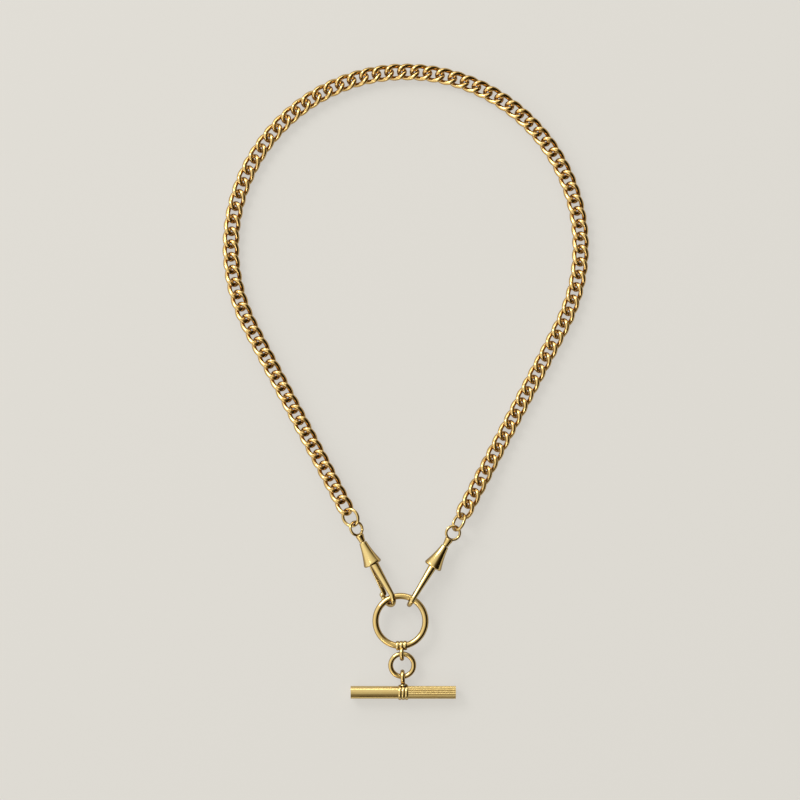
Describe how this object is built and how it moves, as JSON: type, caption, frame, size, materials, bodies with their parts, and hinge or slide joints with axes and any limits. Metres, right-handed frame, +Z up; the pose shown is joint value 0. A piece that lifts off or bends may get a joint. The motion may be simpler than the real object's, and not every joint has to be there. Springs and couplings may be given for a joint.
{
  "type": "double watch chain",
  "caption": "Curb-link watch chain closed in a loop by swivel clips on a centre ring, with a drop ring and a T-bar.",
  "frame": {"origin": "under the middle of the piece's bounding box, on the table it lies on", "axes": "+Z up from the table, +Y from the T-bar to the top of the chain's bow, +X to the right seen from above"},
  "size_m": [0.1116, 0.1938, 0.007],
  "materials": {
    "curb_links": "polished",
    "jump_rings": "polished",
    "clip_bells": "polished",
    "clip_hooks": "polished",
    "rings": "polished",
    "t_bar_tube": "polished, reeded lengthwise",
    "hinge_pins": "polished",
    "springs": "hardened"
  },
  "bodies": {
    "bow": {"chain_top": "curb_links"},
    "links_01": {"chain_left_01": "curb_links", "chain_right_01": "curb_links"},
    "links_02": {"chain_left_02": "curb_links", "chain_right_02": "curb_links"},
    "links_03": {"chain_left_03": "curb_links", "chain_right_03": "curb_links"},
    "links_04": {"chain_left_04": "curb_links", "chain_right_04": "curb_links"},
    "links_05": {"chain_left_05": "curb_links", "chain_right_05": "curb_links"},
    "links_06": {"chain_left_06": "curb_links", "chain_right_06": "curb_links"},
    "links_07": {"chain_left_07": "curb_links", "chain_right_07": "curb_links"},
    "links_08": {"chain_left_08": "curb_links", "chain_right_08": "curb_links"},
    "links_09": {"chain_left_09": "curb_links", "chain_right_09": "curb_links"},
    "links_10": {"chain_left_10": "curb_links", "chain_right_10": "curb_links"},
    "links_11": {"chain_left_11": "curb_links", "chain_right_11": "curb_links"},
    "links_12": {"chain_left_12": "curb_links", "chain_right_12": "curb_links"},
    "links_13": {"chain_left_13": "curb_links", "chain_right_13": "curb_links"},
    "links_14": {"chain_left_14": "curb_links", "chain_right_14": "curb_links"},
    "links_15": {"chain_left_15": "curb_links", "chain_right_15": "curb_links"},
    "links_16": {"chain_left_16": "curb_links", "chain_right_16": "curb_links"},
    "links_17": {"chain_left_17": "curb_links", "chain_right_17": "curb_links"},
    "jump_rings": {"jump_ring_left": "jump_rings", "jump_ring_right": "jump_rings"},
    "clips": {"bell_left": "clip_bells", "hook_left": "clip_hooks", "gate_pin_left": "hinge_pins", "gate_spring_left": "springs", "bell_right": "clip_bells", "hook_right": "clip_hooks", "gate_pin_right": "hinge_pins", "gate_spring_right": "springs"},
    "left_eye": {"swivel_eye_left": "clip_hooks", "swivel_washer_left": "hinge_pins"},
    "left_gate": {"gate_left": "clip_hooks"},
    "right_eye": {"swivel_eye_right": "clip_hooks", "swivel_washer_right": "hinge_pins"},
    "right_gate": {"gate_right": "clip_hooks"},
    "centre_ring": {"ring": "rings", "ring_collar": "rings", "ring_loop": "rings"},
    "drop_ring": {"drop_ring": "rings"},
    "t_bar": {"t_bar": "t_bar_tube", "t_bar_end_plugs": "t_bar_tube", "t_bar_collar": "rings", "t_bar_loop": "rings"}
  },
  "joints": [
    {"name": "fold_01", "type": "hinge", "parent": "bow", "child": "links_01", "pos_m": [0.00055, 0.07948, 0.00166], "axis": [0.9999, -0.0142, 0], "range_deg": [-12, 12]},
    {"name": "fold_02", "type": "hinge", "parent": "links_01", "child": "links_02", "pos_m": [0.00046, 0.0737, 0.00166], "axis": [-0.9999, 0.0142, 0], "range_deg": [-12, 12]},
    {"name": "fold_03", "type": "hinge", "parent": "links_02", "child": "links_03", "pos_m": [0.00037, 0.06722, 0.00166], "axis": [0.9999, -0.0142, 0], "range_deg": [-12, 12]},
    {"name": "fold_04", "type": "hinge", "parent": "links_03", "child": "links_04", "pos_m": [0.00027, 0.06019, 0.00166], "axis": [-0.9999, 0.0142, 0], "range_deg": [-12, 12]},
    {"name": "fold_05", "type": "hinge", "parent": "links_04", "child": "links_05", "pos_m": [0.00017, 0.05275, 0.00166], "axis": [0.9999, -0.0142, 0], "range_deg": [-12, 12]},
    {"name": "fold_06", "type": "hinge", "parent": "links_05", "child": "links_06", "pos_m": [0.00006, 0.04506, 0.00166], "axis": [-0.9999, 0.0142, 0], "range_deg": [-12, 12]},
    {"name": "fold_07", "type": "hinge", "parent": "links_06", "child": "links_07", "pos_m": [-0.00005, 0.03729, 0.00166], "axis": [0.9999, -0.0142, 0], "range_deg": [-12, 12]},
    {"name": "fold_08", "type": "hinge", "parent": "links_07", "child": "links_08", "pos_m": [-0.00016, 0.02959, 0.00166], "axis": [-0.9999, 0.0142, 0], "range_deg": [-12, 12]},
    {"name": "fold_09", "type": "hinge", "parent": "links_08", "child": "links_09", "pos_m": [-0.00027, 0.02215, 0.00166], "axis": [0.9999, -0.0142, 0], "range_deg": [-12, 12]},
    {"name": "fold_10", "type": "hinge", "parent": "links_09", "child": "links_10", "pos_m": [-0.00035, 0.01509, 0.00166], "axis": [-0.9999, 0.0144, 0], "range_deg": [-12, 12]},
    {"name": "fold_11", "type": "hinge", "parent": "links_10", "child": "links_11", "pos_m": [-0.00035, 0.00821, 0.00166], "axis": [0.9999, -0.0156, 0], "range_deg": [-12, 12]},
    {"name": "fold_12", "type": "hinge", "parent": "links_11", "child": "links_12", "pos_m": [-0.00034, 0.00133, 0.00166], "axis": [-0.9999, 0.0171, 0], "range_deg": [-12, 12]},
    {"name": "fold_13", "type": "hinge", "parent": "links_12", "child": "links_13", "pos_m": [-0.00034, -0.00556, 0.00166], "axis": [0.9998, -0.0189, 0], "range_deg": [-12, 12]},
    {"name": "fold_14", "type": "hinge", "parent": "links_13", "child": "links_14", "pos_m": [-0.00034, -0.01244, 0.00166], "axis": [-0.9998, 0.0211, 0], "range_deg": [-12, 12]},
    {"name": "fold_15", "type": "hinge", "parent": "links_14", "child": "links_15", "pos_m": [-0.00033, -0.01932, 0.00169], "axis": [0.9997, -0.0238, 0], "range_deg": [-12, 12]},
    {"name": "fold_16", "type": "hinge", "parent": "links_15", "child": "links_16", "pos_m": [-0.00033, -0.0262, 0.00234], "axis": [-0.9996, 0.0274, 0], "range_deg": [-12, 12]},
    {"name": "fold_17", "type": "hinge", "parent": "links_16", "child": "links_17", "pos_m": [-0.00033, -0.03309, 0.00327], "axis": [0.9995, -0.0322, 0], "range_deg": [-12, 12]},
    {"name": "jump_swing", "type": "hinge", "parent": "links_17", "child": "jump_rings", "pos_m": [-0.00032, -0.04016, 0.00354], "axis": [-0.9992, 0.0391, 0], "range_deg": [-10, 10]},
    {"name": "clip_swing", "type": "hinge", "parent": "jump_rings", "child": "clips", "pos_m": [-0.00032, -0.04393, 0.00355], "axis": [0.999, -0.0442, 0], "range_deg": [-16, 16]},
    {"name": "ring_swing", "type": "hinge", "parent": "clips", "child": "centre_ring", "pos_m": [-0.0015, -0.06611, 0.00355], "axis": [-0.9999, 0.0148, 0], "range_deg": [-12, 12]},
    {"name": "drop_ring_swing", "type": "hinge", "parent": "centre_ring", "child": "drop_ring", "pos_m": [-0.00121, -0.08276, 0.00355], "axis": [0.9993, 0.0384, 0], "range_deg": [-35, 35]},
    {"name": "t_bar_swing", "type": "hinge", "parent": "drop_ring", "child": "t_bar", "pos_m": [-0.00094, -0.08979, 0.00239], "axis": [-0.9993, -0.0384, 0], "range_deg": [-35, 35]},
    {"name": "eye_turn_left", "type": "hinge", "parent": "clips", "child": "left_eye", "pos_m": [-0.01266, -0.04974, 0.00355], "axis": [0.4212, -0.907, 0], "range_deg": [-15, 15]},
    {"name": "gate_left", "type": "hinge", "parent": "clips", "child": "left_gate", "pos_m": [-0.0106, -0.0554, 0.00269], "axis": [-0.7774, -0.361, 0.515], "range_deg": [0, 12], "stiffness_Nm_per_rad": 0.002, "springref_deg": -20.05},
    {"name": "eye_turn_right", "type": "hinge", "parent": "clips", "child": "right_eye", "pos_m": [0.01147, -0.05081, 0.00355], "axis": [-0.5212, -0.8535, 0], "range_deg": [-15, 15]},
    {"name": "gate_right", "type": "hinge", "parent": "clips", "child": "right_gate", "pos_m": [0.00834, -0.05593, 0.00255], "axis": [-0.8535, 0.5212, 0], "range_deg": [0, 12], "stiffness_Nm_per_rad": 0.002, "springref_deg": -20.05}
  ]
}
